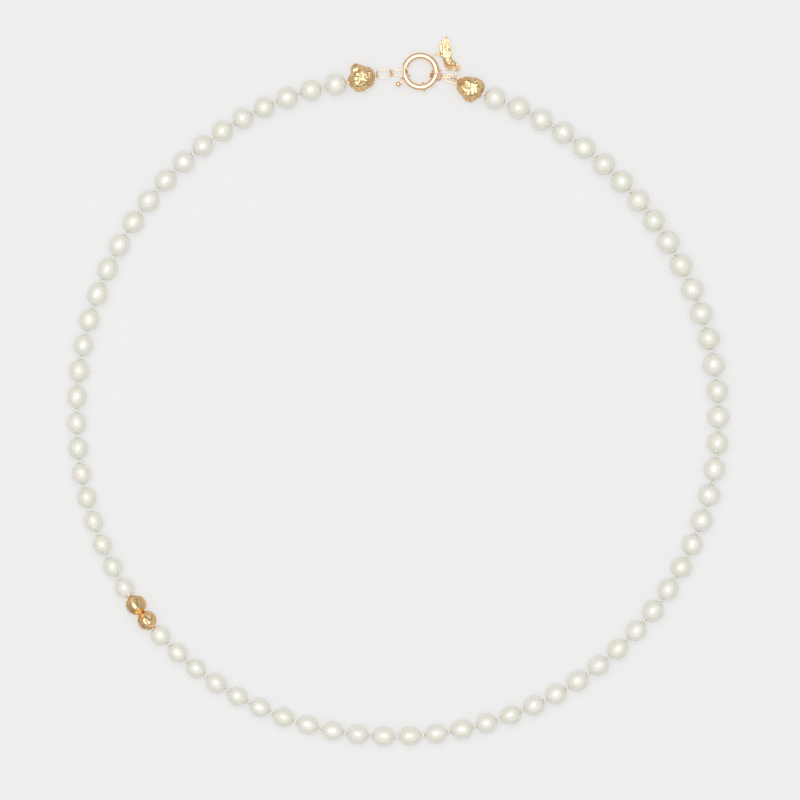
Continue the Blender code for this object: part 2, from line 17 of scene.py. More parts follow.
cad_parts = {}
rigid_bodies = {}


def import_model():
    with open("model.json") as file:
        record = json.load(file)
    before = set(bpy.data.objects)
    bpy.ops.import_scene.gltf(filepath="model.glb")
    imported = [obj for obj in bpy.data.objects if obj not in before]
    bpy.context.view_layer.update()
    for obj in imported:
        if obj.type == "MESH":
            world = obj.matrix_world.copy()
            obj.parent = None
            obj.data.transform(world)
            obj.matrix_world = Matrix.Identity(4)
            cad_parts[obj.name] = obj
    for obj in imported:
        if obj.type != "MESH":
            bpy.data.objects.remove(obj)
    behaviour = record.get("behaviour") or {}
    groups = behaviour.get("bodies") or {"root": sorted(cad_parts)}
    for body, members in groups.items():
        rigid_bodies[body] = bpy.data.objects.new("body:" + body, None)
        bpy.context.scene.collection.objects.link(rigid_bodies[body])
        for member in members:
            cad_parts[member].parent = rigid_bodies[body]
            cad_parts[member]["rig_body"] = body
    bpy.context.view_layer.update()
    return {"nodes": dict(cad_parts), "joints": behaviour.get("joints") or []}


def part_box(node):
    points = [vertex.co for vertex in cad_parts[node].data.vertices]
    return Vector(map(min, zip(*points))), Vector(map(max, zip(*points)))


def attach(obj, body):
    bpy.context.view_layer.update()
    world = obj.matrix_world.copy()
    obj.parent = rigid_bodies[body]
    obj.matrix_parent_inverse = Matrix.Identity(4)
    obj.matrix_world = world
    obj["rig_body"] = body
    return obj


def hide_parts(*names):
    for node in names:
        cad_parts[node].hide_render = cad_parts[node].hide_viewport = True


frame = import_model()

MM = 0.001
print("nodes in the frame:", len(frame["nodes"]))

# %% [markdown]
# ## Working by hand, from a script
# Modelling operators act on what is selected, so each piece starts by deselecting everything. These
# helpers switch modes, select by place, and finish a piece with its name and material.

# %% Helpers for modelling


def start():
    """Object mode, with nothing selected."""
    if bpy.context.object and bpy.context.object.mode != "OBJECT":
        bpy.ops.object.mode_set(mode="OBJECT")
    bpy.ops.object.select_all(action="DESELECT")


def pick(kind, test):
    """In edit mode, selects just the verts, edges or faces that pass a test."""
    bpy.context.tool_settings.mesh_select_mode = [kind == k for k in ("verts", "edges", "faces")]
    bpy.ops.mesh.select_all(action="DESELECT")
    mesh = bpy.context.object.data
    shape = bmesh.from_edit_mesh(mesh)
    for part in getattr(shape, kind):
        part.select_set(bool(test(part)))
    bmesh.update_edit_mesh(mesh)


def edit():
    bpy.ops.object.mode_set(mode="EDIT")


def done():
    bpy.ops.object.mode_set(mode="OBJECT")


def choose(piece):
    """Object mode, with just one piece selected and active."""
    start()
    piece.select_set(True)
    bpy.context.view_layer.objects.active = piece


def placed(name, data):
    """A new object in the scene that shows a mesh, a curve, a light or a camera."""
    made = bpy.data.objects.new(name, data)
    bpy.context.scene.collection.objects.link(made)
    return made


def smooth(piece, angle=40):
    """Shades a piece smooth, except across edges sharper than the angle, in degrees."""
    choose(piece)
    bpy.ops.object.shade_smooth_by_angle(angle=math.radians(angle))


def outward(piece):
    """Merges doubles and points every face out."""
    choose(piece)
    edit()
    bpy.ops.mesh.select_all(action="SELECT")
    bpy.ops.mesh.remove_doubles(threshold=1e-6)
    bpy.ops.mesh.normals_make_consistent(inside=False)
    done()


def applied(piece, kind, **settings):
    """Adds a modifier, sets it and applies it."""
    choose(piece)
    step = piece.modifiers.new(kind.title(), kind)
    for key, value in settings.items():
        setattr(step, key, value)
    bpy.ops.object.modifier_apply(modifier=step.name)


def coords(piece):
    """A piece's vertex positions, as an array."""
    flat = np.empty(len(piece.data.vertices) * 3, np.float32)
    piece.data.vertices.foreach_get("co", flat)
    return flat.reshape(-1, 3).astype(float)


def set_coords(piece, points):
    """Moves a piece's vertices to new positions."""
    piece.data.vertices.foreach_set("co", np.asarray(points, np.float32).ravel())
    piece.data.update()


def finish(name, piece, material, home, *replaced):
    """Names a piece, gives it its material and a body (its name, or a node on it), and hides the
    frame's nodes that the piece stands for."""
    piece.name = name
    piece.data.name = name
    piece.data.materials.clear()
    piece.data.materials.append(material)
    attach(piece, frame["nodes"][home]["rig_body"] if home in frame["nodes"] else home)
    if replaced:
        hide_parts(*replaced)
    return piece


# %% [markdown]
# ## Measuring the frame
# A node of the frame is a plain solid in its right place. Its vertices give all that a finer piece
# needs: its middle, its long and short directions, and its size along each.

# %% Helpers for measuring


def corners(node):
    """The different vertex positions of a node."""
    points = np.array([v.co[:] for v in frame["nodes"][node].data.vertices])
    return np.unique(points.round(6), axis=0)


class Measured:
    """A node's middle, its three directions from long to short, and its size along each."""

    def __init__(self, node):
        points = corners(node)
        middle = points.mean(0)
        axes = np.linalg.svd(points - middle, full_matrices=False)[2]
        reach = (points - middle) @ axes.T
        high, low = reach.max(0), reach.min(0)
        self.size = high - low
        self.middle = Vector(middle + axes.T @ ((high + low) / 2))
        long, side = Vector(axes[0]), Vector(axes[1])
        turn = Matrix((long, side, long.cross(side))).transposed()
        self.place = Matrix.Translation(self.middle) @ turn.to_4x4()


# %% [markdown]
# ## Materials
# Every finish is a Principled shader with a pattern made by nodes. The maths between nodes is easier
# to read as sums, so a small class wraps a socket and turns +, - and * into Math nodes.

# %% A small language for shader maths
BLACK, WHITE = (0, 0, 0), (1, 1, 1)
MIX_SHARE, MIX_ONE, MIX_OTHER, MIX_COLOUR_OUT = 0, 6, 7, 2  # sockets of a Mix node set to colours


class Signal:
    """A socket that carries a value, with arithmetic that adds Math nodes."""

    def __init__(self, recipe, socket):
        self.recipe, self.socket = recipe, socket

    def maths(self, operation, *values):
        return self.recipe.node("ShaderNodeMath", {"operation": operation}, dict(enumerate(values)))

    def __add__(self, other):
        return self.maths("ADD", self, other)

    def __sub__(self, other):
        return self.maths("SUBTRACT", self, other)

    def __mul__(self, other):
        return self.maths("MULTIPLY", self, other)

    def __rsub__(self, other):
        return self.maths("SUBTRACT", other, self)

    __radd__ = __add__
    __rmul__ = __mul__


class Recipe:
    """A material's node tree. Constants go straight on the shader, and node adds any node."""

    def __init__(self, name, slot, **constants):
        self.material = bpy.data.materials.new(name)
        self.material.use_nodes = True
        self.tree = self.material.node_tree
        self.shader = self.tree.nodes["Principled BSDF"]
        for key, value in constants.items():
            self.shader.inputs[key.replace("_", " ")].default_value = value

    def node(self, kind, settings=None, sockets=None, output=0):
        """Adds a node, sets it, fills its sockets, and returns one output."""
        made = self.tree.nodes.new(kind)
        for key, value in (settings or {}).items():
            if key == "stops":
                ramp = made.color_ramp.elements
                while len(ramp) < len(value):
                    ramp.new(0.5)
                for element, (at, shade) in zip(ramp, value):
                    element.position = at
                    element.color = shade if len(shade) == 4 else (*shade, 1)
            else:
                setattr(made, key, value)
        for key, value in (sockets or {}).items():
            self.feed(made.inputs[key], value)
        return Signal(self, made.outputs[output])

    def feed(self, socket, value):
        """Links a signal to a socket, or sets the socket to a constant."""
        if isinstance(value, Signal):
            self.tree.links.new(value.socket, socket)
        else:
            socket.default_value = value

    def place(self):
        """The object's own coordinates, in metres."""
        return self.node("ShaderNodeTexCoord", output="Object")

    def noise(self, size, detail=3.0, rough=0.5, at=None):
        """Cloudy noise whose lumps are about size across."""
        sockets = {"Vector": at or self.place(), "Scale": 1 / size, "Detail": detail, "Roughness": rough}
        return self.node("ShaderNodeTexNoise", None, sockets)

    def mix(self, share, one, other):
        """A colour between two, by share."""
        sockets = {MIX_SHARE: share, MIX_ONE: one, MIX_OTHER: other}
        return self.node("ShaderNodeMix", {"data_type": "RGBA"}, sockets, MIX_COLOUR_OUT)

    def ramp(self, value, *stops):
        """A shade by value, between stops of (place, shade)."""
        return self.node("ShaderNodeValToRGB", {"stops": stops}, {"Fac": value})

    def bump(self, height, distance, strength=1.0):
        """Feeds a height to the shader's normal, distance deep."""
        sockets = {"Height": height, "Distance": distance, "Strength": strength}
        self.shade(Normal=self.node("ShaderNodeBump", None, sockets))

    def shade(self, **links):
        """Feeds sockets of the shader by name."""
        for key, value in links.items():
            self.feed(self.shader.inputs[key.replace("_", " ")], value)


# %% [markdown]
# ### Nacre
# Nacre is thin layers of a clear mineral. It reads as a cream body with a satin gloss under a clear
# coat, and a little light passes under the skin. The colour drifts over millimetres, with a faint warm
# bloom and fine specks, and a very low relief breaks up the highlight. Three kinds, a cream, a rose
# and a green, keep neighbouring pearls from looking alike.

# %% Make the nacre
NACRE_IOR = 1.75


def nacre(name, warm, cool):
    """A nacre between a warm and a cool cream."""
    coat = dict(Coat_Weight=0.7, Coat_Roughness=0.10, Coat_IOR=NACRE_IOR)
    skin = dict(Subsurface_Weight=0.18, Subsurface_Radius=(1.0, 0.85, 0.65), Subsurface_Scale=0.7 * MM)
    recipe = Recipe(name, "pearl", IOR=NACRE_IOR, **coat, **skin)
    drift = recipe.noise(2.6 * MM, 2.0)
    body = recipe.mix(drift, (*warm, 1), (*cool, 1))
    bloom = recipe.ramp(recipe.noise(1.3 * MM, 1.5), (0.42, BLACK), (0.72, WHITE))
    body = recipe.mix(bloom * 0.10, body, (0.80, 0.70, 0.64, 1))
    speck = recipe.ramp(recipe.noise(0.28 * MM, 2.0), (0.62, BLACK), (0.75, WHITE))
    recipe.shade(Base_Color=recipe.mix(speck * 0.10, body, (0.62, 0.60, 0.50, 1)))
    recipe.shade(Roughness=0.19 + 0.10 * recipe.noise(0.9 * MM, 3.0))
    recipe.bump(recipe.noise(0.45 * MM, 3.0, 0.45), 0.012 * MM)
    return recipe.material


NACRES = [
    nacre("nacre_cream", (0.80, 0.78, 0.69), (0.77, 0.76, 0.67)),
    nacre("nacre_rose", (0.81, 0.775, 0.695), (0.78, 0.765, 0.68)),
    nacre("nacre_green", (0.79, 0.78, 0.68), (0.755, 0.755, 0.65)),
]
print("kinds of nacre:", len(NACRES))

# %% [markdown]
# ### Silk
# The cord is twisted silk, bright and slightly fuzzy. Fine waves across the cord stand for the twist, as
# a low relief and as painted shade that darkens the cord in their grooves.

# %% Make the silk


def silk():
    """Twisted silk, with its waves as a low relief and as painted shade, darker in their grooves."""
    recipe = Recipe("silk_cord", "silk", Sheen_Weight=0.5, Sheen_Roughness=0.4)
    twist_and_groove_shade = recipe.node(
        "ShaderNodeTexWave",
        {"bands_direction": "DIAGONAL"},
        {"Vector": recipe.place(), "Scale": 1 / (1.1 * MM), "Distortion": 2.0, "Detail": 2.0},
        1,
    )
    fuzz = recipe.noise(0.07 * MM, 2.0)
    # painted shade: the cord's colour is darker where the twist's waves are low, in their grooves
    recipe.shade(Base_Color=recipe.mix(twist_and_groove_shade, (0.74, 0.70, 0.61, 1), (0.90, 0.88, 0.82, 1)))
    recipe.shade(Roughness=0.68 + 0.2 * fuzz)
    recipe.bump(twist_and_groove_shade + 0.4 * fuzz, 0.03 * MM)
    return recipe.material


SILK = silk()
print("silk made:", SILK.name)

# %% [markdown]
# ### Gold
# The clasp and links are drawn and polished: a mirror with only faint wiping marks and a redder tone.
# The nuggets, beads and bird are cast: yellower, with frosted patches between bright ones.
# Both are fully metallic, so their colour is the tint of what they reflect.

# %% Make the golds


def polished_gold():
    """Drawn wire and tube, polished and lightly wiped."""
    recipe = Recipe("polished_gold", "gold", Metallic=1.0)
    cloud = recipe.noise(1.4 * MM, 3.0)
    recipe.shade(Base_Color=recipe.mix(cloud, (0.93, 0.66, 0.42, 1), (0.97, 0.72, 0.49, 1)))
    stretched = recipe.node(
        "ShaderNodeMapping", None, {"Vector": recipe.place(), "Scale": (1, 0.25, 1)}
    )
    wiped = recipe.noise(0.16 * MM, 2.0, 0.5, stretched)
    recipe.shade(Roughness=0.09 + 0.09 * wiped)
    recipe.bump(recipe.noise(0.5 * MM, 2.0), 0.004 * MM)
    return recipe.material


def cast_gold(name, deep, bright, gloss):
    """Cast gold between a deep and a bright tone, bright in patches and frosted between them."""
    recipe = Recipe(name, "gold", Metallic=1.0, Specular_Tint=(0.75, 0.50, 0.28, 1))
    cloud = recipe.noise(0.7 * MM, 3.0)
    recipe.shade(Base_Color=recipe.mix(cloud, (*deep, 1), (*bright, 1)))
    shine = recipe.ramp(recipe.noise(1.1 * MM, 2.0), (0.40, WHITE), (0.62, BLACK))
    recipe.shade(Roughness=gloss + 0.16 * (1 - shine) + 0.06 * recipe.noise(0.1 * MM, 2.0))
    recipe.bump(recipe.noise(0.14 * MM, 2.0, 0.5), 0.008 * MM)
    return recipe.material


POLISHED = polished_gold()
NUGGET_GOLD = cast_gold("nugget_gold", (0.80, 0.54, 0.26), (0.94, 0.72, 0.43), 0.15)
BIRD_GOLD = cast_gold("bird_gold", (0.82, 0.56, 0.28), (0.94, 0.72, 0.43), 0.13)
print("golds made:", POLISHED.name, NUGGET_GOLD.name, BIRD_GOLD.name)

# %% [markdown]
# ### Spring steel
# The spring inside the clasp is drawn wire: grey, with a slightly cloudy tone and gloss.

# %% Make the spring steel


def drawn_steel():
    """Grey wire with a cloudy tone."""
    recipe = Recipe("drawn_steel", "spring_steel", Metallic=1.0)
    cloud = recipe.noise(0.3 * MM)
    recipe.shade(Base_Color=recipe.mix(cloud, (0.50, 0.50, 0.52, 1), (0.66, 0.66, 0.68, 1)))
    recipe.shade(Roughness=0.28 + 0.15 * recipe.noise(0.08 * MM))
    return recipe.material


STEEL = drawn_steel()
print("steel made:", STEEL.name)

# %% [markdown]
# ## Pearls
# One drilled pearl is modelled as a pattern: a sphere whose poles are opened and joined by a tunnel,
# with softened rims. Each pearl is then its own copy, drawn out to its length and thickness, made a
# little off-round as cultured pearls are, ringed with faint growth bands, and set in its place. The
# frame's plain pearls are rings of corners about the strand, which give each one's middle and length.

# %% Find each pearl in the frame
RING_GAP = 0.22 * MM  # the rings of one solid lie further apart than this along the strand
PEARL_RINGS = 6
UP = Vector((0, 0, 1))


def section_rings(node):
    """The middles of the rings that make a pearls node, in order round the necklace."""
    points = corners(node)
    middle = points.mean(0)
    along = np.array([-middle[1], middle[0], 0]) / np.hypot(middle[0], middle[1])
    run = points @ along
    order = np.argsort(run)
    breaks = np.where(np.diff(run[order]) > RING_GAP)[0] + 1
    return [Vector(points[group].mean(0)) for group in np.split(order, breaks)]


def section_pearls(node):
    """(middle, direction, length) of each pearl, and the middles of all the node's rings."""
    rings = section_rings(node)
    pearls = []
    for first in range(0, len(rings), PEARL_RINGS + 1):
        pearl = rings[first : first + PEARL_RINGS]
        if len(pearl) == PEARL_RINGS:
            span = pearl[-1] - pearl[0]
            pearls.append(((pearl[0] + pearl[-1]) / 2, span.normalized(), span.length))
    return pearls, rings


SECTIONS = sorted(name for name in frame["nodes"] if name.startswith("pearls_"))
print("pearls found:", sum(len(section_pearls(node)[0]) for node in SECTIONS))

# %% Model the drilled pearl
PATTERN_SIDES = 40
PATTERN_RINGS = 26
RIM_BEVEL = 0.018
PEARL_FULLNESS = 2.2  # 2 is an ellipse, and more is fuller at the ends
GROWTH_BANDS = ((17, 0.004), (31, 0.003))  # how close together, and how high
PEARL_LUMPS = 0.045
PEARL_LEAN = 0.02


def pearl_pattern():
    """A sphere of radius 1, drilled along Z."""
    start()
    bpy.ops.mesh.primitive_uv_sphere_add(segments=PATTERN_SIDES, ring_count=PATTERN_RINGS, radius=1)
    edit()
    pick("verts", lambda v: abs(v.co.z) > 0.9999)
    bpy.ops.mesh.delete(type="VERT")
    pick("edges", lambda e: e.is_boundary)
    bpy.ops.mesh.bridge_edge_loops()
    rim = math.cos(math.pi / PATTERN_RINGS) - 0.001
    pick("edges", lambda e: min(v.co.z for v in e.verts) > rim or max(v.co.z for v in e.verts) < -rim)
    bpy.ops.mesh.bevel(offset=RIM_BEVEL, segments=2, affect="EDGES")
    bpy.ops.mesh.select_all(action="SELECT")
    bpy.ops.mesh.normals_make_consistent(inside=False)
    done()
    return bpy.context.object


PATTERN = pearl_pattern()
PATTERN_POINTS = coords(PATTERN)
print("corners in the pattern:", len(PATTERN_POINTS))

# %% Set the pearls


def pearl(name, middle, along, length, number):
    """A copy of the pattern at its own size, a little off-round, with its lowest point at height 0."""
    piece = placed(name, PATTERN.data.copy())
    x, y, z = PATTERN_POINTS.T
    flat = np.clip(np.sqrt(np.clip(1 - z * z, 1e-6, None)), 0.05, None)
    full = np.sqrt(np.clip(1 - np.abs(z) ** PEARL_FULLNESS, 0, None))
    girth = np.where(np.hypot(x, y) > flat * 0.9, full / flat, 1.0)
    bands = sum(high * np.sin(z * close + k * number) for k, (close, high) in enumerate(GROWTH_BANDS, 1))
    seed = Vector((number * 3.7, number * 1.3, 0))
    lumps = PEARL_LUMPS * np.array([noise.noise(Vector(p) * 1.15 + seed) for p in PATTERN_POINTS])
    lean = PEARL_LEAN * z * math.sin(number * 2.1)
    radius = middle.z * girth * (1 + bands + lumps + lean)
    side = UP.cross(along).normalized()
    turn = np.array(Matrix((side, along.cross(side), along)).transposed())
    shape = np.column_stack([x * radius, y * radius, z * length / 2])
    points = shape @ turn.T + np.array(middle)
    points[:, 2] -= points[:, 2].min()
    set_coords(piece, points)
    smooth(piece, 60)
    return piece


number = 0
for node in SECTIONS:
    found, _ = section_pearls(node)
    names = [f"{node.replace('pearls', 'pearl')}_{letter}" for letter in "abc"]
    for name, place in zip(names, found):
        number += 1
        made = pearl(name, *place, number)
        tint = NACRES[(number * 7 + number // 3) % len(NACRES)]
        finish(name, made, tint, node)
bpy.data.objects.remove(PATTERN)
print("pearls set:", number)

# %% [markdown]
# ## Silk and knots
# The silk runs through every pearl, and a knot fills the gap between two. A tight overhand knot is a
# trefoil curve drawn close, so the knot is made as that curve, thickened and turned into a mesh. Each
# section's silk and its knots are one piece, and it stands for the plain solid with its pearls.

# %% Make a cord from points
CORD_RADIUS = 0.15 * MM
KNOT_CORD = 0.19 * MM
KNOT_SIZE = 0.27 * MM
KNOT_LIFT = 0.17 * MM
KNOT_POINTS = 30


def cord(points, radius, closed=False, sides=1):
    """A round cord along points, as a mesh object."""
    curve = bpy.data.curves.new("cord", "CURVE")
    curve.dimensions = "3D"
    curve.bevel_depth = radius
    curve.bevel_resolution = sides
    curve.use_fill_caps = not closed
    line = curve.splines.new("POLY")
    line.points.add(len(points) - 1)
    line.use_cyclic_u = closed
    for corner, p in zip(line.points, points):
        corner.co = (*p, 1)
    choose(placed("cord", curve))
    bpy.ops.object.convert(target="MESH")
    return bpy.context.object


def knot(middle, along, turn):
    """A tight knot of silk about a point of the strand."""
    side = UP.cross(along).normalized()
    rise = along.cross(side)
    points = []
    for k in range(KNOT_POINTS):
        t = math.tau * k / KNOT_POINTS
        out = KNOT_SIZE * (1 + 0.45 * math.cos(3 * t))
        a = 2 * t + turn
        lift = KNOT_LIFT * math.sin(3 * t)
        points.append(middle + side * (out * math.cos(a)) + rise * (out * math.sin(a)) + along * lift)
    return cord(points, KNOT_CORD, closed=True)


def joined(pieces):
    """Several objects joined into the first."""
    start()
    for piece in pieces:
        piece.select_set(True)
    bpy.context.view_layer.objects.active = pieces[0]
    bpy.ops.object.join()
    return bpy.context.object


# %% Thread and knot the strand
SILK_INTO_NEXT = 0.9 * MM
SILK_AT_START = 0.05 * MM
SILK_AT_BEADS = 0.1 * MM
KNOT_SPACE = 0.88 * MM
for count, node in enumerate(SECTIONS):
    found, rings = section_pearls(node)
    route = [rings[0] - found[0][1] * SILK_AT_START]
    pieces = []
    for i, (middle, along, length) in enumerate(found):
        route += [middle - along * length / 2, middle, middle + along * length / 2]
        if i < len(found) - 1:
            after = found[i + 1]
            near = (route[-1] + after[0] - after[1] * after[2] / 2) / 2
            pieces.append(knot(near, along, count + i))
            route.append(near)
    last_middle, last_along, last_length = found[-1]
    far_end = last_middle + last_along * last_length / 2
    if len(rings) > len(found) * (PEARL_RINGS + 1) - 1:
        pieces.append(knot(far_end + last_along * KNOT_SPACE / 2, last_along, count * 1.7))
        route.append(far_end + last_along * KNOT_SPACE / 2)
        route.append(far_end + last_along * (KNOT_SPACE + SILK_INTO_NEXT))
    else:
        route.append(far_end + last_along * SILK_AT_BEADS)
    piece = joined([cord(route, CORD_RADIUS)] + pieces)
    outward(piece)
    smooth(piece, 60)
    finish(node.replace("pearls", "silk"), piece, SILK, node, node)
print("silk pieces:", len(SECTIONS))

# %% [markdown]
# At each nugget the last knot sits against the first pearl, and its cord runs into the nugget's bore.
# Between the two gold beads the bare cord shows for a moment.

# %% Finish the silk's ends
THREAD_INTO_NUGGET = 1.3 * MM
BEAD_CORD_RADIUS = 0.24 * MM
BEAD_CORD_EXTRA = 0.5 * MM
BEAD_THREAD = Measured("bead_thread")
for side, node in (("left", SECTIONS[0]), ("right", SECTIONS[-1])):
    found, rings = section_pearls(node)
    middle, along, length = found[0] if side == "left" else found[-1]
    out = -along if side == "left" else along
    hole = middle + out * length / 2
    thread = Measured(f"{side}_thread_end")
    into = (thread.middle - hole).normalized()
    at = hole + out * KNOT_SPACE / 2
    route = [hole - out * SILK_INTO_NEXT, hole, at, hole + out * KNOT_SPACE]
    route.append(route[-1] + into * THREAD_INTO_NUGGET)
    piece = joined([cord(route, CORD_RADIUS), knot(at, along, 0.4)])
    outward(piece)
    smooth(piece, 60)
    finish(f"{side}_last_knot", piece, SILK, f"{side}_nugget", f"{side}_thread_end")

reach = BEAD_THREAD.place.to_3x3().col[0] * (BEAD_THREAD.size[0] / 2 + BEAD_CORD_EXTRA)
route = [BEAD_THREAD.middle + reach * k for k in (-1, -0.5, 0, 0.5, 1)]
piece = cord(route, BEAD_CORD_RADIUS, sides=2)
outward(piece)
smooth(piece, 60)
finish("cord_between_gold_beads", piece, SILK, "bead_thread", "bead_thread")
print("cord between the beads, in mm:", round(reach.length * 2 / MM, 2))

# %% [markdown]
# ## Cast gold
# A nugget bead looks as if it had been poured: a lumpy outline, deep worm-like folds and a frosted
# skin between them. Each starts as a fine icosphere that is drawn to its outline seen from above.
# Displace modifiers with noise textures then raise the folds, and the bore is cut last.

# %% Shape a lump from its outline
LUMP_LEVEL = 6
OUTLINE_STEPS = 361  # one each degree, the last on the first
SOFTENED_OVER = 25  # degrees of the outline that are averaged, so that its corners are round


def relief(piece, kind, size, strength, seed, **settings):
    """Pushes a surface in and out by a noise texture whose lumps are about size across."""
    texture = bpy.data.textures.new("relief", kind)
    texture.noise_scale = size
    for key, value in settings.items():
        setattr(texture, key, value)
    guide = placed("guide", None)
    guide.location = (seed * 0.013, seed * 0.007, 0)
    bpy.context.view_layer.update()
    step = dict(texture=texture, strength=strength, mid_level=0.5)
    applied(piece, "DISPLACE", **step, texture_coords="OBJECT", texture_coords_object=guide)
    bpy.data.objects.remove(guide)


def lump(outline, low, high, middle, boxy=0.8):
    """A closed lump that fills an outline of (x, y) points about its middle, in millimetres."""
    start()
    bpy.ops.mesh.primitive_ico_sphere_add(subdivisions=LUMP_LEVEL, radius=1)
    piece = bpy.context.object
    x, y, z = coords(piece).T
    turns = np.array([math.atan2(q, p) for p, q in outline])
    reach = np.hypot(*np.array(outline).T) * MM
    order = np.argsort(turns)
    steps = np.linspace(-math.pi, math.pi, OUTLINE_STEPS)
    radius = np.interp(steps, turns[order], reach[order], period=math.tau)
    more = SOFTENED_OVER // 2
    wrapped = np.concatenate([radius[-more - 1 : -1], radius, radius[1 : more + 1]])
    soft = np.convolve(wrapped, np.ones(SOFTENED_OVER) / SOFTENED_OVER, "valid")
    out = np.interp(np.arctan2(y, x), steps, soft)
    flat = np.clip(np.hypot(x, y), 1e-6, 1)
    spread = flat**boxy / flat
    rise = np.sign(z) * np.abs(z) ** boxy
    half = (high - low) / 2
    points = np.column_stack([x * spread * out, y * spread * out, rise * half + (high + low) / 2])
    set_coords(piece, points + np.array([middle.x, middle.y, 0]))
    return piece


def flats(piece, centre, directions, depth):
    """Presses a flat facet into a lump in each direction, at a share of its reach that way."""
    points = coords(piece) - np.array(centre)
    for k, direction in enumerate(directions):
        normal = np.array(Vector(direction).normalized())
        reach = points @ normal
        limit = reach.max() * (depth + 0.05 * math.sin(3 * k))
        points *= np.where(reach > limit, limit / np.maximum(reach, 1e-9), 1)[:, None]
    set_coords(piece, points + np.array(centre))


def settle(piece, floor=0.0):
    """Flattens what has sunk below the floor's height."""
    points = coords(piece)
    points[:, 2] = np.maximum(points[:, 2], floor)
    set_coords(piece, points)


def drill(piece, one, other, radius):
    """Cuts a straight round hole from one point to another."""
    start()
    bpy.ops.mesh.primitive_cylinder_add(vertices=32, radius=radius, depth=(other - one).length)
    tool = bpy.context.object
    turn = (other - one).to_track_quat("Z", "Y").to_matrix().to_4x4()
    tool.data.transform(Matrix.Translation((one + other) / 2) @ turn)
    applied(piece, "BOOLEAN", object=tool, operation="DIFFERENCE", solver="EXACT")
    bpy.data.objects.remove(tool)


# %% Cast the two end nuggets
NUGGET_BORE = 0.45 * MM
NUGGET_BORE_REACH = 3.2 * MM
NUGGET_SINK = 0.1 * MM  # how far a nugget is set down, to stand on a small flat
LEFT_OUTLINE = [
    (3.2, 0.4), (2.9, 1.7), (1.1, 2.5), (-0.9, 3.25), (-2.2, 2.4), (-1.9, 1.3), (-2.75, 0.2),
    (-2.3, -1.2), (-0.9, -2.7), (-0.3, -2.9), (0.9, -2.3), (2.5, -1.4), (3.1, -0.5),
]
RIGHT_OUTLINE = [
    (2.8, 0.25), (2.8, 1.3), (2.2, 1.85), (0.9, 2.25), (-0.5, 2.45), (-1.9, 2.45), (-2.6, 1.9),
    (-3.0, 0.6), (-3.0, -0.1), (-2.4, -0.8), (-1.7, -1.7), (-1.3, -2.4), (0.2, -2.9), (0.5, -2.7),
    (1.3, -2.2), (2.1, -1.9), (2.5, -1.0),
]
for side, outline in (("left", LEFT_OUTLINE), ("right", RIGHT_OUTLINE)):
    node = f"{side}_nugget"
    low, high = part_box(node)
    centre = (low + high) / 2
    piece = lump(outline, -NUGGET_SINK, high.z - NUGGET_SINK, centre)
    seed = 3 if side == "left" else 8
    relief(piece, "CLOUDS", 1.5 * MM, 0.7 * MM, seed, noise_depth=0)
    veins = dict(marble_type="SOFT", turbulence=4.0, noise_depth=1)
    relief(piece, "MARBLE", 0.85 * MM, 0.42 * MM, seed + 1, **veins)
    relief(piece, "VORONOI", 0.75 * MM, -0.30 * MM, seed + 2, distance_metric="DISTANCE")
    applied(piece, "SMOOTH", factor=0.5, iterations=3)
    settle(piece)
    thread = Measured(f"{side}_thread_end")
    pin = Measured(f"{side}_eye_pin")
    reach = (pin.middle - thread.middle).normalized() * NUGGET_BORE_REACH
    drill(piece, thread.middle - reach, thread.middle + reach, NUGGET_BORE)
    smooth(piece, 70)
    finish(f"cast_{node}", piece, NUGGET_GOLD, node, node)
    print(node, "faces:", len(piece.data.polygons))

# %% [markdown]
# The two beads in the strand are the same kind of casting, smaller. The upper one is crumpled into
# flat facets with sharp folds between them, and the lower one has shallower facets and soft lumps.

# %% Cast the two gold beads
BEAD_BORE = 0.42 * MM
BEAD_BORE_REACH = 4 * MM
BEAD_OUTLINE_POINTS = 14
BEAD_FLATS = [
    (0.2, 0.1, 1), (0.9, 0.1, 0.7), (0.35, 0.85, 0.7), (-0.6, 0.75, 0.75), (0.95, 0.75, 0.3),
    (-0.75, -0.1, 0.8), (0.55, -0.75, 0.75), (1, -0.45, 0.25), (0.1, 1, 0.15), (-0.35, -0.7, 0.9),
    (0.65, 0.45, 1.1), (-0.95, 0.5, 0.2),
]
for node, seed in (("gold_bead_upper", 5), ("gold_bead_lower", 11)):
    low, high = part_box(node)
    centre = (low + high) / 2
    size = (high - low) / 2 / MM
    steps = [math.tau * k / BEAD_OUTLINE_POINTS for k in range(BEAD_OUTLINE_POINTS)]
    outline = [(size.x * math.cos(t), size.y * math.sin(t)) for t in steps]
    piece = lump(outline, low.z, high.z, centre, 0.86)
    if node == "gold_bead_upper":
        flats(piece, centre, BEAD_FLATS, 0.80)
        veins = dict(marble_type="SHARP", turbulence=4.0, noise_depth=1)
        relief(piece, "MARBLE", 0.9 * MM, 0.16 * MM, seed + 1, **veins)
    else:
        flats(piece, centre, [(y, x, z) for x, y, z in BEAD_FLATS], 0.86)
        relief(piece, "CLOUDS", 0.8 * MM, 0.20 * MM, seed + 1, noise_depth=0)
    applied(piece, "SMOOTH", factor=0.5, iterations=2)
    settle(piece)
    reach = BEAD_THREAD.place.to_3x3().col[0] * BEAD_BORE_REACH
    drill(piece, centre - reach, centre + reach, BEAD_BORE)
    smooth(piece, 70)
    finish(f"cast_{node}", piece, NUGGET_GOLD, node, node)
    print(node, "faces:", len(piece.data.polygons))

# %% [markdown]
# ## Links and rings
# A jump ring is round wire bent in a circle, and an oval link is the same ring pulled long. So each
# link is a torus whose two halves are moved apart in edit mode, then laid where the frame has it. A
# fine seam shows where the wire's ends meet.

# %% Bend the links and rings
WIRE = 0.18 * MM
CONNECTOR_WIRE = 0.27 * MM
RING_SIDES = 48
WIRE_SIDES = 16
SEAM_BEVEL = 0.02 * MM


